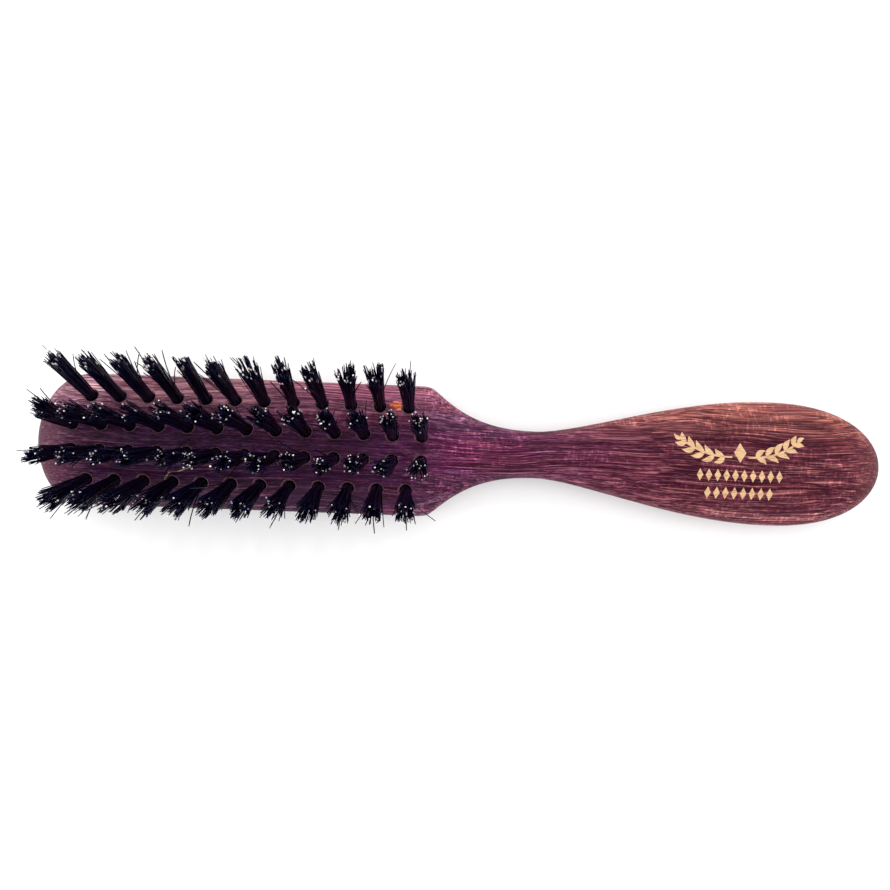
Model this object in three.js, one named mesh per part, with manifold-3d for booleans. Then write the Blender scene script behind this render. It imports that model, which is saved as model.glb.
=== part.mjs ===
// Beard brush: a one-piece hardwood body and fifty tufts of boar bristle.
//
// The body is 180 mm long. +X runs from the head to the end of the handle, +Y across it, and +Z up, the way
// the bristles point. The brush lies on the flat of its back at z = 0, and the origin is below its middle.
// Each tuft is folded in two and driven into its own blind hole. Lengths are in millimetres.

import * as THREE from "three";
import { mergeVertices } from "three/addons/utils/BufferGeometryUtils.js";
import Module from "manifold-3d";

const wasm = await Module();
wasm.setup();

// Driving dimensions of the body. A station is a distance along the body from the tip of the head.
const BODY_LENGTH = 180;
const HEAD_HALF_WIDTH = 14.1;
const HEAD_TIP_LENGTH = 10.7;
const HEAD_TIP_POWER = 2.3;
const HEAD_CENTRE = 45;
const SHOULDER_START = 76;
const SHOULDER_SOFTNESS = 0.6;
const NECK_STATION = 106;
const NECK_HALF_WIDTH = 5.05;
const NECK_FLARE = 0.0067;
const NECK_FLARE_GROWTH = 0.067;
const BULB_STATION = 156.7;
const BULB_HALF_WIDTH = 13.45;
const BULB_EASE = 0.79;
const BULB_END_POWER = 2.26;

// Heights of the body: its crown line, its widest line and the flat of its back.
const HEAD_CROWN = 12.5;
const HEAD_BOW_RADIUS = 400;
const NECK_CROWN = 10.1;
const HANDLE_CROWN = 11.4;
const HEAD_WAIST = 4.5;
const NECK_WAIST = 5.4;
const HANDLE_WAIST = 5.2;
const NECK_LIFT = 0.9;
const BACK_FLATTENING = 1.1;
const TIP_ROUNDING_POWER = 3.2;
const HANDLE_END_ROUNDING_POWER = 3.6;

// Powers of the section's curves: 2 is an ellipse, and more is fuller.
const FACE_POWER = 2;
const HANDLE_FACE_POWER = 2.25;
const BACK_POWER = 2.6;
const NECK_POWER = 2;

// Tufts and their holes.
const TUFT_PITCH = 6.02;
const TUFT_ROWS = [
  { name: "row1", count: 12, y: 8.8, splay: 17 },
  { name: "row2", count: 13, y: 2.7, splay: 7.5 },
  { name: "row3", count: 13, y: -2.7, splay: -7.5 },
  { name: "row4", count: 12, y: -8.8, splay: -17 },
];
const TUFT_HEIGHT = 15.8;
const TUFT_RADIUS = 1.15;
const TUFT_TIP_RADIUS = 1.65;
const TUFT_CROWN = 1.2;
const HOLE_RADIUS = 1.3;
const HOLE_DEPTH = 5.4;
const DRILL_POINT = 0.7;
const HOLE_FLOOR_GAP = 0.3;
const CUTTER_STAND_OUT = 4;

const SECTION_POINTS = 32;
const TUFT_SIDES = 10;

const mix = THREE.MathUtils.lerp;
const ease = (station, from, to) => THREE.MathUtils.smoothstep(station, from, to);

// 1 at share 0, falling to 0 at share 1 along a superellipse.
function roundOff(share, power) {
  return Math.pow(Math.max(0, 1 - Math.pow(Math.max(0, share), power)), 1 / power);
}

// How far a station is into the rounded tip of the head, or into the rounded end of the handle, from 0 to 1.
const tipShare = (station) => (HEAD_TIP_LENGTH - station) / HEAD_TIP_LENGTH;
const endShare = (station) => (station - BULB_STATION) / (BODY_LENGTH - BULB_STATION);

// The body's half width. The head is straight-sided, with a superellipse tip. Its shoulders curve into the
// neck, and the neck swells into the bulb of the handle.
function halfWidth(station) {
  if (station >= BULB_STATION) return BULB_HALF_WIDTH * roundOff(endShare(station), BULB_END_POWER);
  if (station >= NECK_STATION) {
    const share = (station - NECK_STATION) / (BULB_STATION - NECK_STATION);
    return mix(NECK_HALF_WIDTH, BULB_HALF_WIDTH, ease(Math.pow(share, BULB_EASE), 0, 1));
  }
  const head = HEAD_HALF_WIDTH * roundOff(tipShare(station), HEAD_TIP_POWER);
  const reach = NECK_STATION - station;
  const shoulder = NECK_HALF_WIDTH + NECK_FLARE * reach * reach * (1 + NECK_FLARE_GROWTH * reach);
  const gap = (shoulder - head) / SHOULDER_SOFTNESS;
  return head - SHOULDER_SOFTNESS * Math.log1p(Math.exp(-gap));
}

const neckShare = (station) => ease(station, SHOULDER_START, NECK_STATION);
const handleShare = (station) => ease(station, NECK_STATION, BULB_STATION);

// A value that changes from head to neck to handle.
function along(station, head, neck, handle) {
  return mix(mix(head, neck, neckShare(station)), handle, handleShare(station));
}

// How full the body's thickness is, falling to 0 at its two ends.
function fullness(station) {
  const tip = roundOff(tipShare(station), TIP_ROUNDING_POWER);
  return tip * roundOff(endShare(station), HANDLE_END_ROUNDING_POWER);
}

// The body's heights and curve powers at a station.
function profile(station) {
  const fromCentre = station - HEAD_CENTRE;
  const bow = HEAD_CROWN - (fromCentre * fromCentre) / (2 * HEAD_BOW_RADIUS);
  const waist = along(station, HEAD_WAIST, NECK_WAIST, HANDLE_WAIST);
  const floor = along(station, 0, NECK_LIFT, 0);
  const flattening = along(station, BACK_FLATTENING, 1, BACK_FLATTENING);
  return {
    waist,
    floor,
    rise: (along(station, bow, NECK_CROWN, HANDLE_CROWN) - waist) * fullness(station),
    drop: (waist - floor) * flattening * fullness(station),
    facePower: along(station, FACE_POWER, NECK_POWER, HANDLE_FACE_POWER),
    backPower: along(station, BACK_POWER, NECK_POWER, BACK_POWER),
  };
}

// The height of the bristle face above a point of the body.
function faceHeight(station, y) {
  const { waist, rise, facePower } = profile(station);
  return waist + rise * roundOff(Math.abs(y) / halfWidth(station), facePower);
}

// One closed section of the body, as points that run from +Y over the face to -Y and back under the body.
function section(station) {
  const { waist, floor, rise, drop, facePower, backPower } = profile(station);
  const width = halfWidth(station);
  return Array.from({ length: SECTION_POINTS }, (_, i) => {
    const angle = (2 * Math.PI * i) / SECTION_POINTS;
    const [across, up] = [Math.cos(angle), Math.sin(angle)];
    const power = 2 / (up >= 0 ? facePower : backPower);
    const y = width * Math.sign(across) * Math.pow(Math.abs(across), power);
    const reach = Math.pow(Math.abs(up), power);
    const z = up >= 0 ? waist + rise * reach : Math.max(floor, waist - drop * reach);
    return new THREE.Vector3(station - BODY_LENGTH / 2, y, z);
  });
}

// Stations from one place to another. They lie closer together at an end named as tight.
function spaced(from, to, count, tight = "none") {
  return Array.from({ length: count }, (_, i) => {
    const share = i / count;
    const quarter = (share * Math.PI) / 2;
    const eased = { none: share, start: 1 - Math.cos(quarter), end: Math.sin(quarter) }[tight];
    return mix(from, to, eased);
  });
}

function bodyStations() {
  return [
    ...spaced(0, HEAD_TIP_LENGTH, 8, "start").slice(1),
    ...spaced(HEAD_TIP_LENGTH, SHOULDER_START, 8),
    ...spaced(SHOULDER_START, NECK_STATION, 14),
    ...spaced(NECK_STATION, BULB_STATION, 10),
    ...spaced(BULB_STATION, BODY_LENGTH, 12, "end"),
  ];
}

// A closed surface over rings of equal size, with a point at each end.
function loft(first, rings, last) {
  const points = [first, ...rings.flat(), last];
  const size = rings[0].length;
  const at = (ring, i) => 1 + ring * size + (i % size);
  const faces = [];
  for (let i = 0; i < size; i++) {
    faces.push(0, at(0, i + 1), at(0, i));
    faces.push(points.length - 1, at(rings.length - 1, i), at(rings.length - 1, i + 1));
    for (let ring = 0; ring < rings.length - 1; ring++) {
      const [a, b, c, d] = [at(ring, i), at(ring, i + 1), at(ring + 1, i + 1), at(ring + 1, i)];
      faces.push(a, b, c, a, c, d);
    }
  }
  return new THREE.BufferGeometry().setFromPoints(points).setIndex(faces);
}

function bodyBlank() {
  const half = BODY_LENGTH / 2;
  const first = new THREE.Vector3(-half, 0, profile(0).waist);
  const last = new THREE.Vector3(half, 0, profile(BODY_LENGTH).waist);
  return loft(first, bodyStations().map(section), last);
}

// A round solid about +Z, from a profile of radius and height pairs.
function turned(pairs) {
  const outline = pairs.map(([radius, height]) => new THREE.Vector2(radius, height));
  return new THREE.LatheGeometry(outline, TUFT_SIDES).rotateX(Math.PI / 2);
}

// The drill that makes a hole. Its origin is on the wood's surface, in the middle of the hole.
function drill() {
  return turned([
    [0, -HOLE_DEPTH - DRILL_POINT],
    [HOLE_RADIUS, -HOLE_DEPTH],
    [HOLE_RADIUS, CUTTER_STAND_OUT],
    [0, CUTTER_STAND_OUT],
  ]);
}

// A tuft: the folded end in the hole, then the bristles, which spread a little towards their trimmed tips.
function tuftShape() {
  const foldEnd = -HOLE_DEPTH + HOLE_FLOOR_GAP;
  return turned([
    [0, foldEnd],
    [TUFT_RADIUS * 0.7, foldEnd + 0.2],
    [TUFT_RADIUS, foldEnd + 0.8],
    [TUFT_RADIUS, 0.5],
    [TUFT_TIP_RADIUS, TUFT_HEIGHT - TUFT_CROWN],
    [TUFT_TIP_RADIUS * 0.65, TUFT_HEIGHT - TUFT_CROWN * 0.3],
    [0, TUFT_HEIGHT],
  ]);
}

// Where each tuft stands: the middle of its hole on the wood's surface, and the way it leans.
function tuftPlaces() {
  return TUFT_ROWS.flatMap(({ name, count, y, splay }) =>
    Array.from({ length: count }, (_, i) => {
      const station = HEAD_CENTRE + (i - (count - 1) / 2) * TUFT_PITCH;
      return {
        name: `tuft_${name}_${String(i + 1).padStart(2, "0")}`,
        position: new THREE.Vector3(station - BODY_LENGTH / 2, y, faceHeight(station, y)),
        rotation: new THREE.Euler(-THREE.MathUtils.degToRad(splay), 0, 0),
      };
    }),
  );
}

// A geometry as a solid that can be cut. Faces that collapse to a line where a surface meets its axis go.
function solidOf(geometry) {
  const bare = new THREE.BufferGeometry();
  bare.setAttribute("position", geometry.getAttribute("position"));
  bare.setIndex(geometry.getIndex());
  const merged = mergeVertices(bare, 1e-4);
  const corners = Array.from(merged.getIndex().array);
  const kept = [];
  for (let i = 0; i < corners.length; i += 3) {
    const [a, b, c] = corners.slice(i, i + 3);
    if (a !== b && b !== c && c !== a) kept.push(a, b, c);
  }
  const vertProperties = merged.getAttribute("position").array;
  return new wasm.Manifold(new wasm.Mesh({ numProp: 3, vertProperties, triVerts: new Uint32Array(kept) }));
}

function geometryOf(solid) {
  const { vertProperties, triVerts } = solid.getMesh();
  const geometry = new THREE.BufferGeometry();
  geometry.setAttribute("position", new THREE.BufferAttribute(vertProperties, 3));
  geometry.setIndex(new THREE.BufferAttribute(triVerts, 1));
  return geometry;
}

const hardwood = new THREE.MeshStandardMaterial({ color: 0x5b2a2c, roughness: 0.45, metalness: 0 });
const bristle = new THREE.MeshStandardMaterial({ color: 0x0d0c10, roughness: 0.35, metalness: 0 });

// The wooden body, with a blind hole for every tuft.
function woodBody(places) {
  let solid = solidOf(bodyBlank());
  for (const { position, rotation } of places) {
    const placed = new THREE.Matrix4().makeRotationFromEuler(rotation).setPosition(position);
    solid = solid.subtract(solidOf(drill().applyMatrix4(placed)));
  }
  const mesh = new THREE.Mesh(geometryOf(solid), hardwood);
  mesh.name = "wood_body";
  return mesh;
}

// Fifty tufts, which share one shape.
function tufts(places) {
  const group = new THREE.Group();
  const shape = tuftShape();
  for (const { name, position, rotation } of places) {
    const mesh = new THREE.Mesh(shape, bristle);
    mesh.name = name;
    mesh.position.copy(position);
    mesh.rotation.copy(rotation);
    group.add(mesh);
  }
  return group;
}

const places = tuftPlaces();
const brush = new THREE.Group();
brush.add(woodBody(places), tufts(places));

export default brush;
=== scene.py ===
"""The looks of the beard brush: its drilled hardwood body, its folded boar bristles, the wire
anchors that hold them and the emblem on its handle. Lengths are in metres, written as millimetres
times MM. The frame is the CAD part's own: +X runs from the head to the end of the handle, +Y goes
across, +Z is the way the bristles point, and the brush lies on its back at z = 0."""

import math

import bmesh
import bpy
import numpy as np
from mathutils import Matrix, Vector


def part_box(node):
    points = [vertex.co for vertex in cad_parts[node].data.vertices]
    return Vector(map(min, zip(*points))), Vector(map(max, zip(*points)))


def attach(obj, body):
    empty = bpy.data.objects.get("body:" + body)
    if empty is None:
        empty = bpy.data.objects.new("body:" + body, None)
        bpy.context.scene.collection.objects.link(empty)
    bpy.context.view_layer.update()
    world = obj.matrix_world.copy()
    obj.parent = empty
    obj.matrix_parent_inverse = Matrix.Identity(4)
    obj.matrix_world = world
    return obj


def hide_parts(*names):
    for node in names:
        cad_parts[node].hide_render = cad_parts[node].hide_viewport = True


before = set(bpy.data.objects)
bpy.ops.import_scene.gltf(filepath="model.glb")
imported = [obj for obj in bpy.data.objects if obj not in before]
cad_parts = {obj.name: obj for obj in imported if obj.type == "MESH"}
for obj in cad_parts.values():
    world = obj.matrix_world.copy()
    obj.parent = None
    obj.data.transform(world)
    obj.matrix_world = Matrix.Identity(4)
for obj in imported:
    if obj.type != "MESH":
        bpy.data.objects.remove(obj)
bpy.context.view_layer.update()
RANDOM_SEED = 7
random = np.random.default_rng(RANDOM_SEED)

MM = 0.001

# --------------------------------------------------------------------------------------------------
# Driving dimensions. The body's length and the head's width come from the CAD body's box, and a
# station is a distance along the body from the tip of its head.
# --------------------------------------------------------------------------------------------------
body_low, body_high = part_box("wood_body")
BODY_LENGTH = body_high.x - body_low.x
HEAD_HALF_WIDTH = body_high.y

HEAD_TIP_LENGTH = 10.7 * MM
HEAD_TIP_POWER = 2.3
HEAD_CENTRE = 45 * MM
HEAD_BOW_RADIUS = 400 * MM
SHOULDER_START = 76 * MM
SHOULDER_SOFTNESS = 0.6 * MM
SHOULDER_GAP_LIMIT = 60
NECK_STATION = 106 * MM
NECK_HALF_WIDTH = 5.05 * MM
NECK_FLARE = 6.7
NECK_FLARE_GROWTH = 67
BULB_STATION = 156.7 * MM
BULB_HALF_WIDTH = 13.45 * MM
BULB_EASE = 0.79
BULB_END_POWER = 2.26

# Crown: the top of the bristle face. Waist: where a section is widest. Lift: the back's rise.
HEAD_CROWN = 12.5 * MM
NECK_CROWN = 10.1 * MM
HANDLE_CROWN = 11.4 * MM
HEAD_WAIST = 4.5 * MM
NECK_WAIST = 5.4 * MM
HANDLE_WAIST = 5.2 * MM
NECK_LIFT = 0.9 * MM

# How much lower than the floor the back would reach, so that the floor cuts it flat.
BACK_FLATTENING = 1.1
TIP_ROUNDING_POWER = 3.2
HANDLE_END_ROUNDING_POWER = 3.6
FACE_POWER = 2
HANDLE_FACE_POWER = 2.25
BACK_POWER = 2.6
NECK_POWER = 2

BODY_SIDES = 128
TIP_RINGS = 30
HEAD_RINGS = 70
SHOULDER_RINGS = 60
HANDLE_RINGS = 50
END_RINGS = 40
SHARP_ANGLE = 35

TUFT_PITCH = 6.02 * MM
TUFT_ROWS = {
    "row1": {"count": 12, "y": 8.8 * MM, "splay": 17},
    "row2": {"count": 13, "y": 2.7 * MM, "splay": 7.5},
    "row3": {"count": 13, "y": -2.7 * MM, "splay": -7.5},
    "row4": {"count": 12, "y": -8.8 * MM, "splay": -17},
}
TUFT_HEIGHT = 15.6 * MM

HOLE_RADIUS = 1.3 * MM
HOLE_DEPTH = 5.4 * MM
DRILL_POINT = 0.7 * MM
DRILL_TOP = 4 * MM
DRILL_SIDES = 28
CHAMFER_BOTTOM = -0.3 * MM
CHAMFER_TOP = 0.1 * MM
CHAMFER_WIDTH = 0.42 * MM


# --------------------------------------------------------------------------------------------------
# The body's form
# --------------------------------------------------------------------------------------------------
def mix(a, b, share):
    return a + (b - a) * share


def ease(value, start, end):
    """0 at the start and 1 at the end, with a smooth step between them."""
    share = np.clip((value - start) / (end - start), 0, 1)
    return share * share * (3 - 2 * share)


def round_off(share, power):
    """1 at share 0, falling to 0 at share 1 along a superellipse."""
    return np.maximum(0, 1 - np.maximum(0, share) ** power) ** (1 / power)


def half_width(station):
    """The body's half width: straight head with a superellipse tip, shoulders, waist and bulb."""
    end = (station - BULB_STATION) / (BODY_LENGTH - BULB_STATION)
    bulb = BULB_HALF_WIDTH * round_off(end, BULB_END_POWER)
    swell = np.clip((station - NECK_STATION) / (BULB_STATION - NECK_STATION), 0, 1) ** BULB_EASE
    handle = mix(NECK_HALF_WIDTH, BULB_HALF_WIDTH, ease(swell, 0, 1))
    tip = (HEAD_TIP_LENGTH - station) / HEAD_TIP_LENGTH
    head = HEAD_HALF_WIDTH * round_off(tip, HEAD_TIP_POWER)
    reach = np.maximum(0, NECK_STATION - station)
    shoulder = NECK_HALF_WIDTH + NECK_FLARE * reach**2 * (1 + NECK_FLARE_GROWTH * reach)
    gap = (shoulder - head) / SHOULDER_SOFTNESS
    gap = np.clip(gap, -SHOULDER_GAP_LIMIT, SHOULDER_GAP_LIMIT)
    front = head - SHOULDER_SOFTNESS * np.log1p(np.exp(-gap))
    back = np.where(station >= NECK_STATION, handle, front)
    return np.where(station >= BULB_STATION, bulb, back)


def along(station, head, neck, handle):
    """A value that changes from head to neck to handle."""
    front = mix(head, neck, ease(station, SHOULDER_START, NECK_STATION))
    return mix(front, handle, ease(station, NECK_STATION, BULB_STATION))


def fullness(station):
    """How full the body's thickness is, falling to 0 at its two ends."""
    tip = round_off((HEAD_TIP_LENGTH - station) / HEAD_TIP_LENGTH, TIP_ROUNDING_POWER)
    end = (station - BULB_STATION) / (BODY_LENGTH - BULB_STATION)
    return tip * round_off(end, HANDLE_END_ROUNDING_POWER)


def profile(station):
    """Waist height, floor height, rise of the face, drop of the back, face power and back power."""
    bow = HEAD_CROWN - (station - HEAD_CENTRE) ** 2 / (2 * HEAD_BOW_RADIUS)
    waist = along(station, HEAD_WAIST, NECK_WAIST, HANDLE_WAIST)
    floor = along(station, 0, NECK_LIFT, 0)
    rise = (along(station, bow, NECK_CROWN, HANDLE_CROWN) - waist) * fullness(station)
    flattening = along(station, BACK_FLATTENING, 1, BACK_FLATTENING)
    drop = (waist - floor) * flattening * fullness(station)
    face_power = along(station, FACE_POWER, NECK_POWER, HANDLE_FACE_POWER)
    back_power = along(station, BACK_POWER, NECK_POWER, BACK_POWER)
    return waist, floor, rise, drop, face_power, back_power


def face_height(station, y):
    """The height of the bristle face above a point of the body."""
    waist, _, rise, _, power, _ = profile(station)
    return waist + rise * round_off(np.abs(y) / half_width(station), power)


def on_face(station, y, lift=0.0):
    return Vector((station - BODY_LENGTH / 2, y, float(face_height(station, y)) + lift))


def body_rings():
    """The body's sections, as an array of rings by sides by 3, closer together at its two ends."""
    quarter = math.pi / 2
    tip = HEAD_TIP_LENGTH * (1 - np.cos(np.linspace(0, quarter, TIP_RINGS)[1:]))
    head = np.linspace(HEAD_TIP_LENGTH, SHOULDER_START, HEAD_RINGS)[1:]
    shoulders = np.linspace(SHOULDER_START, NECK_STATION, SHOULDER_RINGS)[1:]
    handle = np.linspace(NECK_STATION, BULB_STATION, HANDLE_RINGS)[1:]
    end = np.sin(np.linspace(0, quarter, END_RINGS)[1:-1])
    end = BULB_STATION + (BODY_LENGTH - BULB_STATION) * end
    station = np.concatenate([tip, head, shoulders, handle, end])[:, None]
    angle = (2 * math.pi * np.arange(BODY_SIDES) / BODY_SIDES)[None, :]
    across, up = np.cos(angle), np.sin(angle)
    above = up > -1e-9  # the points at the waist belong to the face, whatever their rounding
    waist, floor, rise, drop, face_power, back_power = profile(station)
    power = 2 / np.where(above, face_power, back_power)
    reach = np.abs(up) ** power
    y = half_width(station) * np.sign(across) * np.abs(across) ** power
    z = np.where(above, waist + rise * reach, np.maximum(floor, waist - drop * reach))
    x = np.broadcast_to(station - BODY_LENGTH / 2, y.shape)
    return np.stack([x, y, z], axis=2)


# --------------------------------------------------------------------------------------------------
# Mesh helpers
# --------------------------------------------------------------------------------------------------
def new_object(name, vertices, faces, materials, face_materials=None, smooth=True):
    mesh = bpy.data.meshes.new(name)
    mesh.from_pydata([tuple(v) for v in vertices], [], [tuple(f) for f in faces])
    for material in materials:
        mesh.materials.append(material)
    if face_materials is not None:
        mesh.polygons.foreach_set("material_index", face_materials)
    mesh.polygons.foreach_set("use_smooth", [smooth] * len(mesh.polygons))
    mesh.validate()
    mesh.update()
    piece = bpy.data.objects.new(name, mesh)
    bpy.context.scene.collection.objects.link(piece)
    return piece


def ring_faces(rings, sides, base=0):
    """Quads between rings of points that run counterclockwise about the way the rings go."""
    faces = []
    for r in range(rings - 1):
        for s in range(sides):
            t = (s + 1) % sides
            near, far = base + r * sides, base + (r + 1) * sides
            faces.append((near + s, near + t, far + t, far + s))
    return faces


def add_tube(rings, vertices, faces):
    """Add a closed tube to a mesh: its quads ring by ring, then its first cap and its last."""
    sides = len(rings[0])
    first = len(vertices)
    last = first + (len(rings) - 1) * sides
    vertices += np.array(rings, float).reshape(-1, 3).tolist()
    faces += ring_faces(len(rings), sides, first)
    faces.append([first + s for s in range(sides)][::-1])
    faces.append([last + s for s in range(sides)])


def turned(profile_points, sides):
    """Vertices and faces of a round solid about +Z, from a profile whose ends are on the axis."""
    (_, bottom), *middle, (_, top) = profile_points
    vertices = [(0, 0, bottom)]
    for radius, height in middle:
        for s in range(sides):
            angle = 2 * math.pi * s / sides
            vertices.append((radius * math.cos(angle), radius * math.sin(angle), height))
    vertices.append((0, 0, top))
    faces = ring_faces(len(middle), sides, base=1)
    last = 1 + (len(middle) - 1) * sides
    for s in range(sides):
        t = (s + 1) % sides
        faces.append((0, 1 + t, 1 + s))
        faces.append((len(vertices) - 1, last + s, last + t))
    return vertices, faces


def headings(points):
    """The unit direction of a path at each of its points."""
    way = np.gradient(points, axis=0)
    return way / np.linalg.norm(way, axis=1)[:, None]


# --------------------------------------------------------------------------------------------------
# Material helpers
# --------------------------------------------------------------------------------------------------
class Nodes:
    """A short way to write a material's node tree."""

    # A colour Mix node's sockets, which share their names with those of its other data types.
    MIX_FACTOR, MIX_A, MIX_B, MIX_RESULT = 0, 6, 7, 2

    def __init__(self, name):
        self.material = bpy.data.materials.new(name)
        self.material.use_nodes = True
        self.tree = self.material.node_tree
        self.shader = self.tree.nodes["Principled BSDF"]

    def add(self, kind, inputs=(), **settings):
        node = self.tree.nodes.new(kind)
        for key, value in settings.items():
            setattr(node, key, value)
        for key, value in dict(inputs).items():
            self.put(node.inputs[key], value)
        return node

    def put(self, socket, value):
        if isinstance(value, bpy.types.NodeSocket):
            self.tree.links.new(value, socket)
        else:
            socket.default_value = value

    def set(self, **inputs):
        """Set or link the shader's inputs, with their spaces written as underscores."""
        for key, value in inputs.items():
            self.put(self.shader.inputs[key.replace("_", " ")], value)

    def vector(self, operation, a, b=(0, 0, 0), output="Vector"):
        node = self.add("ShaderNodeVectorMath", {0: a, 1: b}, operation=operation)
        return node.outputs[output]

    def scaled(self, vector, scale):
        return self.vector("MULTIPLY", vector, scale)

    def plus(self, vector, offset):
        return self.vector("ADD", vector, offset)

    def millimetres(self):
        """The place on the object, in millimetres."""
        return self.scaled(self.add("ShaderNodeTexCoord").outputs["Object"], (1 / MM,) * 3)

    def parts(self, vector):
        return self.add("ShaderNodeSeparateXYZ", {0: vector}).outputs

    def noise(self, vector, scale, detail=3.0, roughness=0.55, output="Fac"):
        """Noise with a scale of its own along each axis, in cycles per millimetre."""
        inputs = {"Vector": self.scaled(vector, scale), "Scale": 1.0}
        inputs |= {"Detail": detail, "Roughness": roughness}
        return self.add("ShaderNodeTexNoise", inputs).outputs[output]

    def math(self, operation, a, b=0.0):
        return self.add("ShaderNodeMath", {0: a, 1: b}, operation=operation).outputs[0]

    def times(self, product, *others):
        for other in others:
            product = self.math("MULTIPLY", product, other)
        return product

    def total(self, total, *others):
        for other in others:
            total = self.math("ADD", total, other)
        return total

    def weighted(self, *terms):
        """The sum of values, each times its own weight."""
        return self.total(*(self.times(value, weight) for value, weight in terms))

    def span(self, value, start, end, at_start=0.0, at_end=1.0):
        """A smooth step from one result to the other. The end may lie below the start."""
        inputs = {"Value": value, "From Min": start, "From Max": end}
        inputs |= {"To Min": at_start, "To Max": at_end}
        node = self.add("ShaderNodeMapRange", inputs, interpolation_type="SMOOTHSTEP")
        return node.outputs[0]

    def between(self, value, low, low_full, high_full, high):
        """1 between the two inner bounds, falling to 0 at the outer ones."""
        return self.times(self.span(value, low, low_full), self.span(value, high, high_full))

    def ramp(self, value, stops):
        node = self.add("ShaderNodeValToRGB", {"Fac": value})
        elements = node.color_ramp.elements
        while len(elements) < len(stops):
            elements.new(0.5)
        for element, (position, colour) in zip(elements, stops):
            element.position = position
            element.color = (*colour, 1)
        return node.outputs["Color"]

    def blend(self, share, a, b, mode="MIX"):
        node = self.add("ShaderNodeMix", data_type="RGBA", blend_type=mode, clamp_factor=True)
        for index, value in ((self.MIX_FACTOR, share), (self.MIX_A, a), (self.MIX_B, b)):
            self.put(node.inputs[index], (*value, 1) if isinstance(value, tuple) else value)
        return node.outputs[self.MIX_RESULT]

    def tinted(self, colour, tint, share):
        """The colour multiplied by a tint, as far as the share says."""
        return self.blend(share, colour, tint, "MULTIPLY")

    def bump(self, height, distance, strength):
        inputs = {"Height": height, "Distance": distance, "Strength": strength}
        self.set(Normal=self.add("ShaderNodeBump", inputs).outputs["Normal"])


def mottled(name, scale, stops, detail=3.0, fineness=0.55, **finish):
    """A material whose colour wanders through a ramp."""
    n = Nodes(name)
    tone = n.noise(n.millimetres(), scale, detail, fineness)
    n.set(Base_Color=n.ramp(tone, stops), **finish)
    return n.material


# --------------------------------------------------------------------------------------------------
# The wood's colours and finish
# --------------------------------------------------------------------------------------------------
ROSEWOOD_STOPS = [
    (0.38, (0.029, 0.0010, 0.0085)),
    (0.46, (0.073, 0.0086, 0.0215)),
    (0.54, (0.130, 0.0280, 0.0410)),
    (0.64, (0.270, 0.1020, 0.1040)),
]
# Painted shade for the head's middle and low side, where the tufts shade the face: a darker colour,
# and a darker wash near the shoulder.
PAINTED_SHADE_HEAD = (0.014, 0.0035, 0.022)
PAINTED_SHADE_WASH = (0.052, 0.0130, 0.046)
PORE = (0.022, 0.0008, 0.007)
FRESH_WOOD = (0.60, 0.110, 0.045)
# Warm sapwood colour for the +Y edge, made brighter than the wood itself as painted light too.
SAPWOOD_AND_LIGHT_HEAD, SAPWOOD_AND_LIGHT_HANDLE = (0.340, 0.120, 0.155), (0.57, 0.212, 0.142)
THREAD_HEAD, THREAD_HANDLE = (0.33, 0.105, 0.140), (0.43, 0.155, 0.145)
END_GRAIN_HEAD, END_GRAIN_HANDLE = (0.110, 0.038, 0.056), (0.118, 0.034, 0.038)

PLUM_TINT = (0.84, 0.84, 1.62)
# Painted shade for the middle of the handle's face, which is darker than its edges.
PAINTED_SHADE_HANDLE_TINT = (0.5, 0.44, 0.54)
# Painted light for the +Y edge of the head and neck and for the head's tip.
PAINTED_LIGHT_TINT = (1.45, 1.5, 1.42)
HEAD_TINT = (0.92, 1.3, 1.04)
FLECK_TINT = (1.9, 2.1, 1.9)

# Lighter and darker patches over the wood, in millimetres: where each starts and is full along X,
# where it stops being full and ends, the same along Y, and its tint.
TONE_PATCHES = [
    (-86, -76, -18, -10, -10, -7, 2, 5, (1.12, 1.04, 1.32)),
    (-20, -12, 1, 5, -6, -4, 2, 5, (1.45, 1.45, 1.50)),
    (-52, -44, -24, -16, -8, -11, -20, -21, (0.58, 0.64, 0.78)),
    (-91, -90, -78, -74, 3, 6, 20, 21, (1.80, 2.20, 2.05)),
    (-48, -43, -24, -19, 3, 4, 6, 7.5, (1.60, 1.65, 1.60)),
    (-44, -38, -6, -2, 7, 8.5, 11, 12, (0.72, 0.66, 0.78)),
    (-14, -8, 8, 12, 3, 4.5, 7.5, 9, (0.66, 0.78, 0.90)),
    (-6, -2, 11, 15, -9, -7, -4, -2, (0.76, 0.80, 0.84)),
    (-8, -2, 10, 16, -5, -3, 1, 3, (1.04, 0.88, 0.90)),
    (-58, -50, -14, -8, -5, -3, -1, 0, (1.20, 1.10, 1.15)),
    (-91, -90, -76, -70, -6, -4, 2, 4, (0.70, 0.74, 0.72)),
    (70, 80, 94, 98, 0, 2, 9, 12, (1.20, 1.20, 1.10)),
    (-14, -8, 4, 8, -16, -15, -10, -8, (1.42, 2.40, 1.58)),
    (44, 54, 84, 94, -17, -16, -10, -7, (1.15, 1.35, 1.25)),
]

# Dark and light veins: an offset into the noise, its scale, a vein's width, its tint, its strength.
VEINS = [
    ((9.0, 13.0, 37.0), (0.016, 1.5, 0.8), 0.10, (0.46, 0.28, 0.42), 0.75),
    ((19.0, 7.0, 3.0), (0.020, 1.2, 0.7), 0.06, (2.0, 1.9, 1.9), 0.35),
]

# The middle of the chip of fresh wood beside one hole of the first row.
CHIP_PLACE = on_face(BODY_LENGTH / 2 - 14.5 * MM, 9.0 * MM) / MM


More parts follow.
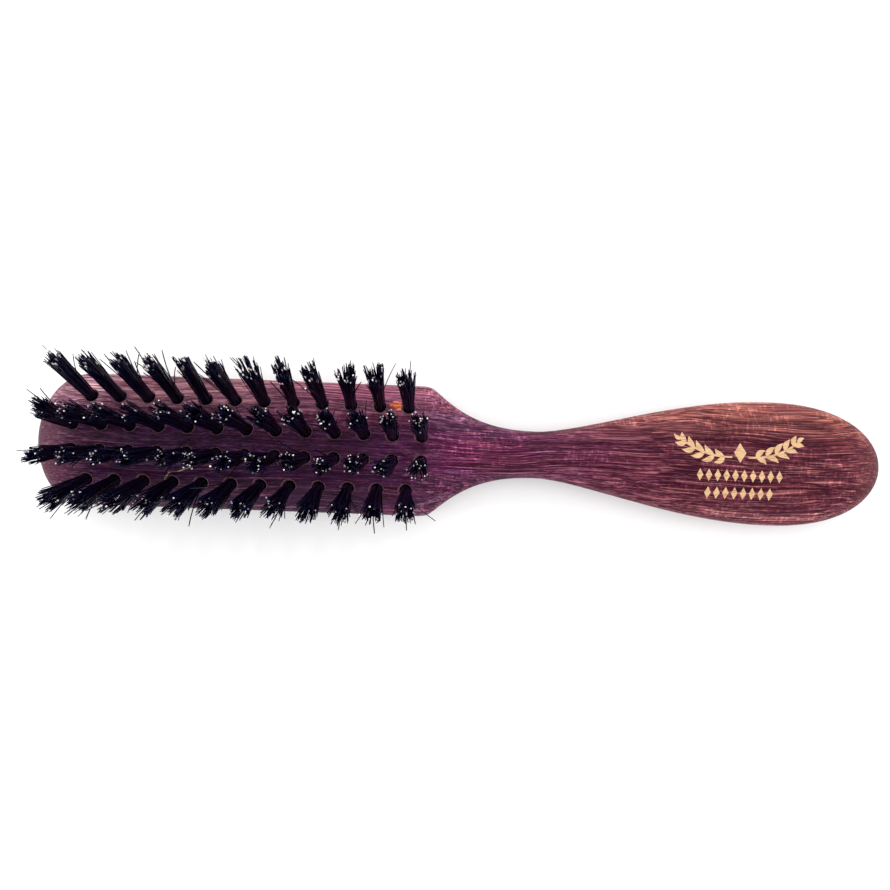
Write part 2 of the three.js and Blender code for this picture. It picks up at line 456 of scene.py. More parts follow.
def tones_and_painted_light(n, colour, x, y, upper):
    """The broad changes of the wood's colour over the brush: painted shade over the head's middle
    and low side and in the handle's middle, painted light along the +Y edge and round the head's
    tip, and lighter and darker patches.
    """
    # Painted shade: the middle and the low (-Y) side of the head are darkened where the tufts shade
    # the face and the light from the +Y side falls off.
    middle = n.between(y, -24, -11, 1, 7)
    shade_wash = n.times(middle, n.between(x, -50, -28, -14, 2), 0.55)
    colour = n.blend(shade_wash, colour, PAINTED_SHADE_WASH)
    head_shade = n.times(middle, n.between(x, -90, -70, -60, 2), 0.66)
    colour = n.blend(head_shade, colour, PAINTED_SHADE_HEAD)
    # Painted shade: the middle of the handle's face is darkened where it catches less light than
    # its edges.
    handle_shade = n.times(n.between(y, -10, -4, 5, 13), n.between(x, 30, 50, 74, 86), 0.65)
    colour = n.tinted(colour, PAINTED_SHADE_HANDLE_TINT, handle_shade)
    # Painted light: the +Y edge of the head and neck and the head's tip are lightened where the
    # light from the +Y side falls on them.
    lit_edge = n.times(n.span(y, 1, 9), n.span(x, 12, -4))
    pale = n.math("MAXIMUM", n.span(x, -66, -86), lit_edge)
    colour = n.tinted(colour, PAINTED_LIGHT_TINT, n.times(pale, upper, 0.7))
    colour = n.tinted(colour, HEAD_TINT, n.span(x, -24, -52))
    for *x_bounds, low, low_full, high_full, high, tint in TONE_PATCHES:
        patch = n.times(n.between(x, *x_bounds), n.between(y, low, low_full, high_full, high))
        colour = n.tinted(colour, tint, n.times(patch, upper))
    return colour


def hardwood():
    """Dark rosewood with long fine fibres, open pores, cross figure and a satin oil finish, with
    painted light and shade over it.
    """
    n = Nodes("rosewood_satin")
    place = n.millimetres()
    x, y, z = n.parts(place)
    upper = n.span(z, 1.5, 8)

    # The fibres run along X and wander a little.
    drift = n.plus(n.noise(place, (0.02, 0.06, 0.06), 2.0, output="Color"), (-0.5, -0.5, -0.5))
    grain = n.plus(place, n.scaled(drift, (0, 6, 6)))
    _, grain_y, grain_z = n.parts(grain)
    band = n.noise(grain, (0.008, 0.30, 0.20), 3.0, 0.6)
    line = n.noise(grain, (0.028, 2.9, 1.3), 1.0, 0.7)
    speck = n.noise(grain, (0.8, 4.4, 2.4), 1.0)
    wander = n.noise(grain, (0.03, 0.6, 0.6), 2.0)
    layer = n.weighted((grain_y, 1.7), (grain_z, 1.0), (wander, 6.0))
    growth = n.math("SINE", n.times(layer, 2 * math.pi))
    dust = n.weighted((n.noise(grain, (0.8, 5.2, 2.6), 1.0), 0.62), (line, -0.27))
    dust = n.total(dust, -0.175)
    dust_share = n.span(x, 6, -12, 0.4, 1)
    tone = n.weighted((band, 0.27), (line, 0.53), (speck, 0.20), (growth, 0.03), (dust, dust_share))
    colour = n.ramp(tone, ROSEWOOD_STOPS)

    # A plum cast towards the head, and warm sapwood along the edge on the +Y side, also brightened
    # there as painted light.
    plum = n.times(n.span(x, 62, -5), n.total(n.times(upper, 0.5), 0.5))
    colour = n.tinted(colour, PLUM_TINT, plum)
    edge = n.total(y, n.times(band, 7))
    warm_edge_and_light = n.times(n.span(edge, 6, 16), n.span(line, 0.36, 0.62, 0.35, 1.0), upper, 0.6)
    sapwood_and_light = n.blend(n.span(x, -8, 30), SAPWOOD_AND_LIGHT_HEAD, SAPWOOD_AND_LIGHT_HANDLE)
    colour = tones_and_painted_light(n, n.blend(warm_edge_and_light, colour, sapwood_and_light), x, y, upper)

    # Pale threads, veins and open pores along the fibres.
    thread = n.noise(n.plus(grain, (3.0, 41.0, 23.0)), (0.035, 3.4, 1.6), 1.0, 0.4)
    thread = n.times(n.span(thread, 0.60, 0.67), n.span(x, -12, 6, 0.34, 0.55))
    colour = n.blend(thread, colour, n.blend(n.span(x, 0, 50), THREAD_HEAD, THREAD_HANDLE))
    for offset, scale, width, tint, strength in VEINS:
        vein = n.noise(n.plus(grain, offset), scale, 1.0, 0.4)
        vein = n.math("ABSOLUTE", n.total(vein, -0.5))
        colour = n.tinted(colour, tint, n.span(vein, width, width * 0.3, 0, strength))
    vessel = n.noise(n.plus(grain, (31.0, 17.0, 5.0)), (0.09, 3.9, 1.9), 2.0, 0.6)
    pores = n.span(vessel, 0.55, 0.61)
    colour = n.blend(n.times(pores, 0.8), colour, PORE)

    # Short pale flecks that cross the fibres in patches of the neck and the handle.
    ripple = n.noise(n.plus(place, (7.0, 3.0, 11.0)), (1.7, 0.6, 0.6), 1.0, 0.5)
    patch = n.noise(n.plus(place, (11.0, 5.0, 2.0)), (0.05, 0.16, 0.16), 1.0)
    patch = n.times(n.span(patch, 0.44, 0.54), n.span(x, -22, -8))
    flecks = n.times(n.span(ripple, 0.55, 0.63), patch, 0.8)
    colour = n.tinted(colour, FLECK_TINT, flecks)

    # Smoother end grain round the tip and the handle's end, and the chip of fresh wood.
    ends = n.times(n.math("MAXIMUM", n.span(x, -77, -87), n.span(x, 80, 88)), 0.5)
    end_grain = n.blend(n.span(x, -10, 10), END_GRAIN_HEAD, END_GRAIN_HANDLE)
    colour = n.blend(ends, colour, end_grain)
    chip = n.scaled(n.plus(place, tuple(-CHIP_PLACE)), (0.9, 1.45, 1))
    chip = n.vector("LENGTH", chip, output="Value")
    chip = n.total(chip, n.times(n.noise(place, (0.9, 1.6, 1.6)), 1.8))
    colour = n.blend(n.span(chip, 2.1, 1.8), colour, FRESH_WOOD)

    n.set(Base_Color=colour, Roughness=n.span(tone, 0.3, 0.7, 0.52, 0.4))
    n.set(Coat_Weight=0.045, Coat_Roughness=0.25, Specular_IOR_Level=0.05)
    n.bump(n.math("SUBTRACT", n.times(line, 0.35), pores), 0.05 * MM, 0.9)
    return n.material


def bare_wood():
    """Fresh orange wood where the drill tore a few fibres."""
    stops = [(0.38, FRESH_WOOD), (0.62, (0.95, 0.27, 0.14))]
    return mottled("rosewood_bare", (0.6, 6, 6), stops, 2.0, Roughness=0.7)


def rim_highlight_wood():
    """The chamfer at a drilled hole's mouth, paler than the oiled face as a painted highlight where
    its edge catches light.
    """
    stops = [(0.35, (0.14, 0.055, 0.085)), (0.65, (0.30, 0.15, 0.20))]
    finish = {"Roughness": 0.5, "Specular_IOR_Level": 0.2}
    return mottled("rosewood_rim_painted_highlight", (0.4, 4, 4), stops, 2.0, **finish)


# --------------------------------------------------------------------------------------------------
# The other materials
# --------------------------------------------------------------------------------------------------
def black_bristle():
    """Black boar bristle: a dark glossy shaft that turns a little brown in places."""
    stops = [
        (0.35, (0.0018, 0.0016, 0.0170)),
        (0.62, (0.0030, 0.0024, 0.0205)),
        (0.84, (0.0100, 0.0060, 0.0170)),
    ]
    finish = {"Roughness": 0.28, "Specular_IOR_Level": 0.2, "Specular_Tint": (0.6, 0.72, 1.0, 1)}
    return mottled("boar_bristle_black", (2.2, 2.2, 0.35), stops, 2.0, **finish)


def pale_end_glint():
    """The pale horn of a cut or split bristle end, made bright so that it also paints the glints on
    the bristle ends.
    """
    stops = [(0.32, (0.08, 0.07, 0.10)), (0.5, (0.36, 0.32, 0.34)), (0.64, (0.95, 0.90, 0.85))]
    return mottled("boar_bristle_cut_end_and_glint", (1.5, 1.5, 1.5), stops, 1.0, Roughness=0.3)


def tan_bristle():
    """A bristle with little pigment."""
    stops = [(0.3, (0.016, 0.009, 0.010)), (0.7, (0.085, 0.045, 0.035))]
    return mottled("boar_bristle_tan", (0.8, 0.8, 0.8), stops, Roughness=0.35)


def horn_bristle():
    """A bristle with no pigment at all, the colour of pale horn."""
    stops = [(0.3, (0.13, 0.075, 0.055)), (0.7, (0.38, 0.25, 0.18))]
    return mottled("boar_bristle_horn", (0.8, 0.8, 0.8), stops, Roughness=0.35)


def anchor_wire():
    """Drawn flat wire with fine marks along its length."""
    n = Nodes("anchor_wire_steel")
    marks = n.noise(n.millimetres(), (0.5, 9, 9), 2.0)
    colour = n.ramp(marks, [(0.3, (0.42, 0.41, 0.40)), (0.7, (0.62, 0.61, 0.60))])
    n.set(Base_Color=colour, Metallic=1.0, Roughness=n.span(marks, 0.2, 0.8, 0.25, 0.45))
    return n.material


def emblem_foil():
    """Matt, pale gold print, a little thin where the wood's pores show through."""
    stops = [(0.33, (0.26, 0.12, 0.06)), (0.44, (0.50, 0.30, 0.15)), (0.7, (0.66, 0.43, 0.23))]
    return mottled("emblem_foil_tan", (0.5, 4.5, 4.5), stops, 3.0, 0.65, Roughness=0.55)


def floor_paint():
    stops = [(0.3, (0.92, 0.92, 0.92)), (0.7, (0.94, 0.94, 0.94))]
    finish = {"Roughness": 0.7, "Specular_IOR_Level": 0.2}
    return mottled("pale_floor", (0.02, 0.02, 0.02), stops, 1.0, **finish)


# --------------------------------------------------------------------------------------------------
# The wooden body
# --------------------------------------------------------------------------------------------------
FACE_WOOD, RIM_HIGHLIGHT, TORN_WOOD = 0, 1, 2

# Torn fibres at one hole's rim: x and y of the root, heading in degrees, length and lift. The rest
# of these tables' measures are in millimetres.
SPLINTERS = [
    (-13.5, 9.5, 172, 2.0, 0.30),
    (-13.4, 8.9, 186, 1.6, 0.42),
    (-14.3, 8.6, 155, 1.2, 0.26),
    (-13.5, 8.3, 195, 1.2, 0.20),
]
# A torn fibre's half widths at shares of its length, in millimetres, and its section's corners.
SPLINTER_WIDTHS = [(0, 0.3), (0.35, 0.36), (0.7, 0.24), (1, 0.06)]
SPLINTER_SECTION = [(-1, 0), (1, 0), (0.6, 0.55), (-0.6, 0.55)]
SPLINTER_ROOT_DEPTH = 0.12 * MM
SPLINTER_ARCH = 1.9


def tuft_places():
    """Each tuft's name and placing matrix: the origin is its hole's mouth, and +Z is its lean."""
    places = {}
    for row, facts in TUFT_ROWS.items():
        for i in range(facts["count"]):
            station = HEAD_CENTRE + (i - (facts["count"] - 1) / 2) * TUFT_PITCH
            turn = Matrix.Rotation(-math.radians(facts["splay"]), 4, "X")
            places[f"{row}_{i + 1:02d}"] = Matrix.Translation(on_face(station, facts["y"])) @ turn
    return places


def drill_cutter(places):
    """All the drills as one mesh, each with a chamfer that breaks its hole's edge."""
    mouth_radius = HOLE_RADIUS + CHAMFER_WIDTH
    drill = [
        (0, -HOLE_DEPTH - DRILL_POINT),
        (HOLE_RADIUS, -HOLE_DEPTH),
        (HOLE_RADIUS, CHAMFER_BOTTOM),
        (mouth_radius, CHAMFER_TOP),
        (mouth_radius, DRILL_TOP),
        (0, DRILL_TOP),
    ]
    shape, shape_faces = turned(drill, DRILL_SIDES)
    # The chamfer's faces take the paler wood of the painted rim highlight.
    chamfer = range(DRILL_SIDES, 2 * DRILL_SIDES)
    shape_kinds = [RIM_HIGHLIGHT if i in chamfer else FACE_WOOD for i in range(len(shape_faces))]
    vertices, faces, kinds = [], [], []
    for place in places.values():
        base = len(vertices)
        vertices += [place @ Vector(v) for v in shape]
        faces += [tuple(base + i for i in face) for face in shape_faces]
        kinds += shape_kinds
    return new_object("drill_cutter", vertices, faces, [hardwood_paint, rim_highlight_paint], kinds)


def apply_modifiers(piece):
    shown = piece.evaluated_get(bpy.context.evaluated_depsgraph_get())
    mesh = bpy.data.meshes.new_from_object(shown)
    piece.modifiers.clear()
    piece.data = mesh


def wood_body(places):
    """The body with its holes drilled. A point at each end closes its rings."""
    rings = body_rings()
    vertices = rings.reshape(-1, 3).tolist()
    faces = ring_faces(len(rings), BODY_SIDES)
    first, last, far = len(vertices), len(vertices) + 1, (len(rings) - 1) * BODY_SIDES
    for end in (0.0, BODY_LENGTH):
        waist = float(profile(np.array(end))[0])
        vertices.append((end - BODY_LENGTH / 2, 0, waist))
    for s in range(BODY_SIDES):
        t = (s + 1) % BODY_SIDES
        faces.append((first, t, s))
        faces.append((last, far + s, far + t))
    body = new_object("hardwood_body", vertices, faces, [hardwood_paint, rim_highlight_paint])
    cutter = drill_cutter(places)
    cut = body.modifiers.new("holes", "BOOLEAN")
    cut.operation = "DIFFERENCE"
    cut.solver = "EXACT"
    cut.object = cutter
    apply_modifiers(body)
    bpy.data.objects.remove(cutter)
    body.data.set_sharp_from_angle(angle=math.radians(SHARP_ANGLE))
    add_splinters(body)
    return body


def add_splinters(body):
    """A few torn fibres that stand up from one hole's rim, as part of the body's own mesh."""
    vertices, faces = [], []
    for x, y, heading, length, lift in SPLINTERS:
        way = Vector((math.cos(math.radians(heading)), math.sin(math.radians(heading)), 0))
        side = Vector((-way.y, way.x, 0))
        root = on_face(x * MM + BODY_LENGTH / 2, y * MM, -SPLINTER_ROOT_DEPTH)
        rings = []
        for share, half in SPLINTER_WIDTHS:
            rise = Vector((0, 0, lift * MM * math.sin(SPLINTER_ARCH * share)))
            spot = root + way * (length * share * MM) + rise
            rings.append([
                spot + side * (half * across * MM) + Vector((0, 0, half * up * MM))
                for across, up in SPLINTER_SECTION
            ])
        add_tube(rings, vertices, faces)
    torn = new_object("torn_fibres", vertices, faces, [bare_wood()], smooth=False)
    body.data.materials.append(torn.data.materials[0])
    joined = bmesh.new()
    joined.from_mesh(body.data)
    whole = len(joined.faces)
    joined.from_mesh(torn.data)
    joined.faces.ensure_lookup_table()
    for face in joined.faces[whole:]:
        face.material_index = TORN_WOOD
    joined.to_mesh(body.data)
    joined.free()
    bpy.data.objects.remove(torn)


# --------------------------------------------------------------------------------------------------
# Bristles and anchors. A tuft is built in its own frame, and then moved to its hole.
# --------------------------------------------------------------------------------------------------
# PALE is the material of the pale cut ends, which also paint the glints on the bristle ends.
BLACK, PALE, TAN, HORN = 0, 1, 2, 3
BRISTLES_IN_TUFT = 60
BRISTLE_RADIUS = 0.108 * MM
BRISTLE_SIDES = 5
THICKNESS_RANGE = (0.82, 1.18)
# How thick a bristle is from its fold up to its end, and how a pale or a dark end closes.
SHAFT_TAPER = [1, 1, 1, 1, 1, 1, 0.98, 0.95, 0.92]
PALE_TAPER = [1.05, 1.5]
DARK_TAPER = [0.85, 0.66]
TAN_SHARE = 0.012

BUNDLE_RADIUS = 1.12 * MM
FOLD_DEPTH = 4.95 * MM
FOLD_HALF_GAP = 0.14 * MM
HOLE_CLEAR_DEPTH = 1.2 * MM
# Where a bristle passes beside the anchor: a fixed part, and a share of how far out it starts.
ANCHOR_CLEARANCE = 0.27 * MM
ANCHOR_CROWDING = 0.68
# The points of a bristle above its hole, as shares of its length, and how it curves out to its tip.
SHAFT_SHARES = (0.06, 0.28, 0.5, 0.7, 0.86)
OUTWARD_POWER = 1.8
BEND_SPREAD = 0.15 * MM

CLUMPS_IN_TUFT = 13
CLUMP_EXTRA_FLARE = 0.25
CLUMP_SPREAD = 0.26 * MM
CLUMP_HEIGHT_SPREAD = 0.62 * MM
CLUMP_PULL = (0.1, 0.65)
LEAN_SPREAD = 0.22 * MM
TURN_MARGIN = 0.05
TURN_SPREAD = 0.05
TIP_SPREAD = 0.2 * MM
LENGTH_SPREAD = 0.4 * MM
SPLAYED_SHARE = 0.045
SPLAYED_SPREAD = 1.3 * MM
SHORT_SHARE = 0.17
SHORT_RANGE = (0.5, 2.8)

# How each row has worn, as (first six tufts, later tufts) for its flare and for how much shorter it
# is, then the share of its ends that are pale, painted bright as glints too, and how long those
# are.
# Lengths are in millimetres.
FIRST_TUFTS = 6
ROW_WEAR = {
    "row1": {"flare": ((1.15, 1.4), (1.7, 2.0)), "shorter": (0.1, 0.6), "pale": (0.15, 0.7)},
    "row2": {"flare": ((1.35, 1.7), (1.5, 1.8)), "shorter": (0.25, 0.25), "pale": (0.11, 0.34)},
    "row3": {"flare": ((1.15, 1.5), (1.5, 1.8)), "shorter": (0.25, 0.25), "pale": (0.12, 0.34)},
    "row4": {"flare": ((1.8, 2.2), (1.6, 2.1)), "shorter": (0.25, 0.25), "pale": (0.11, 0.4)},
}
# Single bristles that stand out far from their tuft: their tips in its frame, in millimetres.
STRAYS = {
    "row4_12": [(6.3, -1.6, 13.5), (0.9, -3.2, 15.0)],
    "row4_10": [(0.2, -3.4, 15.2)],
    "row1_11": [(3.6, 2.6, 14.6)],
    "row1_03": [(3.3, 2.4, 15.0)],
    "row1_07": [(-3.2, 2.2, 14.8)],
    "row1_01": [(2.8, 1.6, 15.0)],
    "row4_04": [(-1.5, -3.0, 15.0)],
}
# One pale bristle of the third row has snapped over near its end: its path, in millimetres.
SNAPPED = {
    "row3_06": [
        (0.2, -0.5, -0.6),
        (-0.4, -1.0, 6.0),
        (-1.1, -1.6, 12.0),
        (-1.8, -2.0, 15.2),
        (-4.2, -2.4, 13.6),
        (-6.6, -4.2, 9.6),
    ],
}
SNAPPED_THICKNESS = 1.15
# How far a tuft's tips have settled from its hole's line, in millimetres. The first tufts of the
# first row have spread out towards the head's tip, and most of the inner rows stand straighter than
# their holes.
LEANS = {f"row1_{i + 1:02d}": (-0.55 * (1 - i / 6), 0.6 * (1 - i / 6)) for i in range(6)}
LEANS |= {f"row2_{i + 1:02d}": (0, -0.9) for i in range(4)}
LEANS |= {f"row2_{i + 1:02d}": (-0.3, -0.3) for i in range(4, 13)}
LEANS |= {"row2_01": (1.2, -0.8), "row3_01": (1.3, 0), "row3_02": (0.6, 0)}
LEANS |= {f"row3_{i + 1:02d}": (-0.7, 0.25) for i in range(6, 11)}
LEANS |= {"row3_12": (-1.4, -0.3), "row3_13": (-0.5, -0.2)}

ANCHOR_LENGTH = 2.44 * MM
ANCHOR_THICKNESS = 0.30 * MM
ANCHOR_HEIGHT = 1.7 * MM
ANCHOR_BOTTOM = -4.8 * MM
ANCHOR_FOLD_RISE = 0.25 * MM
ANCHOR_LOW_CORNER = 0.3 * MM
ANCHOR_TOP_CORNER = 0.12 * MM
ANCHOR_CORNER_STEPS = 4
ANCHOR_EDGE = 0.05 * MM


def tube(points, radii):
    """The rings of a bristle along a path."""
    points = np.array(points, float)
    way = headings(points)
    side = np.cross(way, (1, 0.1, 0.05))  # a slanted axis, which no bristle runs along
    side /= np.linalg.norm(side, axis=1)[:, None]
    other = np.cross(way, side)
    angle = (2 * math.pi * np.arange(BRISTLE_SIDES) / BRISTLE_SIDES)[None, :, None]
    turn = np.cos(angle) * side[:, None] + np.sin(angle) * other[:, None]
    return points[:, None] + np.array(radii)[:, None, None] * turn


def leg(start, tip, length, bend, end_length):
    """Half of a folded bristle: from the fold, past the anchor, up its hole and out to its tip."""
    beside = math.copysign(ANCHOR_CLEARANCE + ANCHOR_CROWDING * abs(start[1]), start[1])
    points = [
        (start[0], math.copysign(FOLD_HALF_GAP, start[1]), -FOLD_DEPTH),
        (start[0], beside, ANCHOR_BOTTOM + ANCHOR_FOLD_RISE),
        (start[0], beside, ANCHOR_BOTTOM + ANCHOR_HEIGHT),
        (start[0], start[1], -HOLE_CLEAR_DEPTH),
    ]
    for share in (*SHAFT_SHARES, 1 - end_length / length, 1.0):
        x, y = mix(start, tip, share**OUTWARD_POWER) + math.sin(math.pi * share) * bend
        points.append((x, y, share * length))
    return points


def clumps(flare):
    """Where the clumps of a tuft start, where their tips gather and how far they rise or fall."""
    spots = BUNDLE_RADIUS * np.sqrt(random.uniform(0, 1, (CLUMPS_IN_TUFT, 1)))
    turns = random.uniform(0, 2 * math.pi, (CLUMPS_IN_TUFT, 1))
    roots = spots * np.hstack([np.cos(turns), np.sin(turns)])
    tips = roots * (flare + CLUMP_EXTRA_FLARE)
    tips = tips + random.normal(0, CLUMP_SPREAD, (CLUMPS_IN_TUFT, 2))
    heights = random.normal(0, CLUMP_HEIGHT_SPREAD, CLUMPS_IN_TUFT)
    return roots, tips, heights


def tuft(name, place, materials, lean, strays=()):
    """Bristles folded in two over their anchor, so that twice as many ends stand up, in clumps."""
    lean = np.array(lean) * MM + random.normal(0, LEAN_SPREAD, 2)
    row, number = name[:4], int(name[-2:])
    wear, later = ROW_WEAR[row], number > FIRST_TUFTS
    flare = random.uniform(*wear["flare"][later])
    height = TUFT_HEIGHT - wear["shorter"][later] * MM
    pale_share, pale_length = wear["pale"]
    roots, clump_tips, clump_heights = clumps(flare)
    vertices, faces, kinds = [], [], []
    strays = list(strays)

    for _ in range(BRISTLES_IN_TUFT):
        radius = BUNDLE_RADIUS * math.sqrt(random.uniform(0.01, 1))
        angle = random.uniform(TURN_MARGIN, math.pi - TURN_MARGIN)
        halves = []
        for half in (1, -1):
            turn = half * angle + random.normal(0, TURN_SPREAD)
            start = np.array([radius * math.cos(turn), half * abs(radius * math.sin(turn))])
            clump = int(np.argmin(np.linalg.norm(roots - start, axis=1)))
            tip = mix(start * flare, clump_tips[clump], random.uniform(*CLUMP_PULL))
            tip = tip + random.normal(0, TIP_SPREAD, 2)
            if random.random() < SPLAYED_SHARE:
                tip += random.normal(0, SPLAYED_SPREAD, 2)
            length = height + clump_heights[clump] + random.normal(0, LENGTH_SPREAD)
            if random.random() < SHORT_SHARE:
                length -= random.uniform(*SHORT_RANGE) * MM
            tip = tip + lean
            if strays and half * strays[-1][1] > 0:
                x, y, z = strays.pop()
                tip, length = np.array([x, y]) * MM, z * MM
            bend = random.normal(0, BEND_SPREAD, 2)
            halves.append(leg(start, tip, length, bend, pale_length * MM))
        size = BRISTLE_RADIUS * random.uniform(*THICKNESS_RANGE)
        # Pale ends are cut ends that also paint the bristles' glints.
        pale = [random.random() < pale_share for _ in range(2)]
        ends = [PALE_TAPER if light else DARK_TAPER for light in pale]
        taper = ends[0][::-1] + SHAFT_TAPER[::-1] + SHAFT_TAPER + ends[1]
        rings = tube(halves[0][::-1] + halves[1], [size * share for share in taper])
        add_tube(rings, vertices, faces)
        kind = TAN if random.random() < TAN_SHARE else BLACK
        caps = [PALE if light else kind for light in pale]
        sleeves = [caps[0]] + [kind] * (len(rings) - 3) + [caps[1]]
        kinds += [sleeve for sleeve in sleeves for _ in range(BRISTLE_SIDES)] + caps

    if name in SNAPPED:
        path = np.array(SNAPPED[name]) * MM
        rings = tube(path, [BRISTLE_RADIUS * SNAPPED_THICKNESS] * len(path))
        add_tube(rings, vertices, faces)
        kinds += [HORN] * (len(faces) - len(kinds))
    piece = new_object(f"bristles_{name}", vertices, faces, materials, kinds)
    piece.data.transform(place)
    return piece


def anchor_outline():
    """The outline of the flat wire, counterclockwise from its lower right corner."""
    outline = []
    half_length = ANCHOR_LENGTH / 2
    for side, upper, first in ((1, False, -90), (1, True, 0), (-1, True, 90), (-1, False, 180)):
        radius = ANCHOR_TOP_CORNER if upper else ANCHOR_LOW_CORNER
        centre_x = side * (half_length - radius)
        centre_z = ANCHOR_BOTTOM + (ANCHOR_HEIGHT - radius if upper else radius)
        for step in range(ANCHOR_CORNER_STEPS + 1):
            angle = math.radians(first + 90 / ANCHOR_CORNER_STEPS * step)
            x, z = centre_x + radius * math.cos(angle), centre_z + radius * math.sin(angle)
            outline.append((x, z))
    return outline


def anchor(name, place, material):
    """A flat wire across the fold of a tuft, deep in its hole, with eased edges."""
    outline = anchor_outline()
    count = len(outline)
    half = ANCHOR_THICKNESS / 2
    inner = half - ANCHOR_EDGE
    middle = ANCHOR_BOTTOM + ANCHOR_HEIGHT / 2
    layers = [(-half, ANCHOR_EDGE), (-inner, 0), (inner, 0), (half, ANCHOR_EDGE)]
    vertices = []
    for y, inset in layers:
        shrink_x, shrink_z = 1 - 2 * inset / ANCHOR_LENGTH, 1 - 2 * inset / ANCHOR_HEIGHT
        vertices += [(x * shrink_x, y, middle + (z - middle) * shrink_z) for x, z in outline]
    faces = [face[::-1] for face in ring_faces(len(layers), count)]
    faces.append(tuple(range(count)))
    faces.append(tuple(range((len(layers) - 1) * count, len(vertices)))[::-1])
    piece = new_object(f"anchor_{name}", vertices, faces, [material], smooth=False)
    piece.data.transform(place)
    return piece


# --------------------------------------------------------------------------------------------------
# The emblem: a print of leaves over two rows of lozenges, made of closed films that follow the
# handle's face. Its measures are in millimetres from its centre.
# --------------------------------------------------------------------------------------------------
EMBLEM_CENTRE = Vector((58.0 * MM, -0.9 * MM))
FILM_ABOVE = 0.04 * MM
FILM_BELOW = 0.03 * MM
FILM_SHARES = (-1, -0.33, 0.33, 1)

STEM_POINTS = ((1.7, 1.7), (7.5, 1.4), (12.2, 5.1))
STEM_STEPS = 22
STEM_HALF_WIDTH = 0.2
# The step of the stem that each pair of leaves grows from, and their length.
LEAF_PAIRS = ((3, 2.5), (7, 2.9), (11, 3.0), (15, 2.8), (19, 2.3))
LEAF_SPREAD = 0.62
LEAF_WIDTH = 1.15
LEAF_STEPS = 9
LEAF_BEND = 0.12
LEAF_FULLNESS = 0.85
LEAF_TIP_SHARE = 0.03
END_LEAF = (1.9, 0.9)

MIDDLE_LOZENGE = ((0, 2.6), 1.25, 2.1)
LOZENGE_ROWS = ((-2.2, 10), (-5.9, 8))
LOZENGE_PITCH = 1.85
LOZENGE_HALF_SIZE = (0.66, 1.3)
LOZENGE_TIP_SHARE = 0.04


def curve_points(start, control, end, count):
    """Points of a quadratic curve."""
    share = np.linspace(0, 1, count)[:, None]
    return (1 - share) ** 2 * start + 2 * share * (1 - share) * control + share**2 * end


def film(points, half_widths, vertices, faces):
    """A closed film along a path on the handle's face."""
    points = np.array(points, float)
    way = headings(points)
    side = np.stack([-way[:, 1], way[:, 0]], axis=1)
    rings = []
    for point, normal, half in zip(points, side, half_widths):
        flat = [point + normal * half * share for share in FILM_SHARES]
        ring = []
        for row, lift in ((flat, -FILM_BELOW), (flat[::-1], FILM_ABOVE)):
            for x, y in row:
                place = EMBLEM_CENTRE + Vector((x, y)) * MM
                ring.append(on_face(place.x + BODY_LENGTH / 2, place.y, lift))
        rings.append(ring)
    add_tube(rings, vertices, faces)


def leaf(root, angle, length, width, vertices, faces):
    share = np.linspace(0, 1, LEAF_STEPS)
    bend = LEAF_BEND * np.sin(math.pi * share)
    way = np.array([math.cos(angle), math.sin(angle)])
    side = np.array([-way[1], way[0]])
    points = root + length * (share[:, None] * way + bend[:, None] * side)
    closed = np.clip(share, LEAF_TIP_SHARE, 1 - LEAF_TIP_SHARE)
    halves = width / 2 * np.sin(math.pi * closed**LEAF_FULLNESS)
    film(points, halves, vertices, faces)


def lozenge(centre, half_length, half_height, vertices, faces):
    x, y = centre
    points = [(x + half_length * share, y) for share in (-1, -0.5, 0, 0.5, 1)]
    shares = (LOZENGE_TIP_SHARE, 0.5, 1, 0.5, LOZENGE_TIP_SHARE)
    film(points, [half_height * share for share in shares], vertices, faces)


def emblem(material):
    vertices, faces = [], []
    lozenge(*MIDDLE_LOZENGE, vertices, faces)
    for side in (1, -1):
        stem = curve_points(*(np.array((x * side, y)) for x, y in STEM_POINTS), STEM_STEPS)
        film(stem, [STEM_HALF_WIDTH] * len(stem), vertices, faces)
        for step, length in LEAF_PAIRS:
            way = stem[step + 1] - stem[step]
            heading = math.atan2(way[1], way[0])
            for spread in (LEAF_SPREAD, -LEAF_SPREAD):
                angle = heading + spread * side
                leaf(stem[step], angle, length, LEAF_WIDTH, vertices, faces)
        way = stem[-1] - stem[-2]
        leaf(stem[-1], math.atan2(way[1], way[0]), *END_LEAF, vertices, faces)
    for y, count in LOZENGE_ROWS:
        for i in range(count):
            centre = ((i - (count - 1) / 2) * LOZENGE_PITCH, y)
            lozenge(centre, *LOZENGE_HALF_SIZE, vertices, faces)
    return new_object("emblem_print", vertices, faces, [material], smooth=False)


# --------------------------------------------------------------------------------------------------
# Camera, lights and floor
# --------------------------------------------------------------------------------------------------
CAMERA_PLACE = Vector((-7.4, -8.7, 156.4)) * MM
CAMERA_TURN = {"Z": -2.075, "X": -3.83, "Y": 1.33}
CAMERA_CLIP_START = 5 * MM
SENSOR_WIDTH = 36
LENS = 28.3146067

FLOOR_HALF_SIDE = 4.0
SKY_STRENGTH = 1.2
LIGHTS_AIM = Vector((0, 0, 5 * MM))
# Name, place, width and length, power in watts and colour of each soft light.
LIGHTS = [
    ("back_softbox", (0, 0.50, 0.34), (1.2, 0.4), 1.5, (1, 0.95, 0.92)),
    ("front_softbox", (0, -0.50, 0.30), (1.2, 0.3), 0.7, (0.95, 0.97, 1)),
    ("left_softbox", (-0.6, 0, 0.26), (0.3, 0.6), 0.65, (1, 1, 1)),
    ("right_softbox", (0.6, 0, 0.26), (0.3, 0.6), 0.65, (1, 1, 1)),
    ("flash", (0.03, 0.42, 0.46), (0.08, 0.08), 0.5, (1, 1, 1)),
]


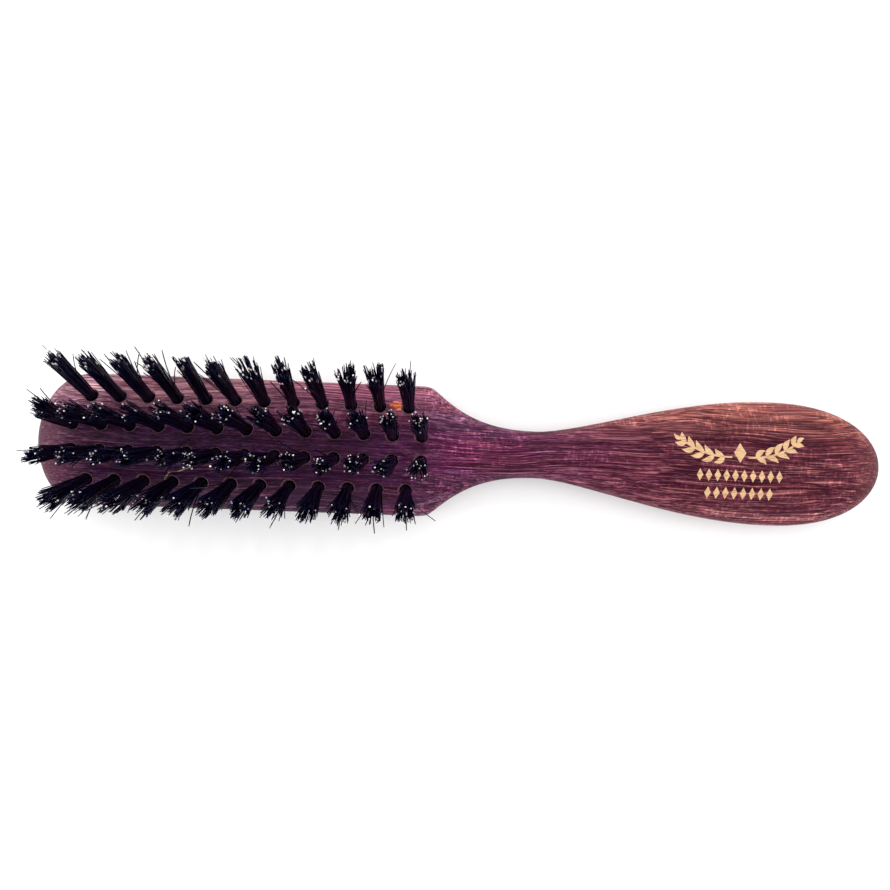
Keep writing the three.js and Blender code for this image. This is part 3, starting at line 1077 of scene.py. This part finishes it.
def add_camera():
    data = bpy.data.cameras.new("camera")
    data.sensor_width = SENSOR_WIDTH
    data.lens = LENS
    data.clip_start = CAMERA_CLIP_START
    camera = bpy.data.objects.new("camera", data)
    turn = Matrix.Identity(4)
    for axis, angle in CAMERA_TURN.items():
        turn = turn @ Matrix.Rotation(math.radians(angle), 4, axis)
    camera.matrix_world = Matrix.Translation(CAMERA_PLACE) @ turn.transposed()
    bpy.context.scene.collection.objects.link(camera)
    bpy.context.scene.camera = camera


def add_light(name, place, size, power, colour):
    data = bpy.data.lights.new(name, "AREA")
    data.shape = "RECTANGLE"
    data.size, data.size_y = size
    data.energy = power
    data.color = colour
    light = bpy.data.objects.new(name, data)
    light.location = place
    light.rotation_euler = (Vector(place) - LIGHTS_AIM).to_track_quat("Z", "Y").to_euler()
    bpy.context.scene.collection.objects.link(light)


def add_stage():
    corners = [(x * FLOOR_HALF_SIDE, y * FLOOR_HALF_SIDE, 0) for x, y in
               ((-1, -1), (1, -1), (1, 1), (-1, 1))]
    floor = new_object("floor", corners, [(0, 1, 2, 3)], [floor_paint()], smooth=False)
    world = bpy.data.worlds.new("studio")
    world.use_nodes = True
    sky = world.node_tree.nodes["Background"]
    sky.inputs["Color"].default_value = (1, 1, 1, 1)
    sky.inputs["Strength"].default_value = SKY_STRENGTH
    bpy.context.scene.world = world
    bpy.context.scene.view_settings.view_transform = "Standard"
    for light in LIGHTS:
        add_light(*light)


# --------------------------------------------------------------------------------------------------
# The brush
# --------------------------------------------------------------------------------------------------
places = tuft_places()
hardwood_paint, rim_highlight_paint = hardwood(), rim_highlight_wood()
body = wood_body(places)
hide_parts("wood_body")
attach(body, "root")

bristle_materials = [black_bristle(), pale_end_glint(), tan_bristle(), horn_bristle()]
wire = anchor_wire()
for name, place in places.items():
    piece = tuft(name, place, bristle_materials, LEANS.get(name, (0, 0)), STRAYS.get(name, ()))
    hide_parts(f"tuft_{name}")
    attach(piece, "root")
    pin = anchor(name, place, wire)
    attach(pin, "root")

print_film = emblem(emblem_foil())
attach(print_film, "root")

add_camera()
add_stage()
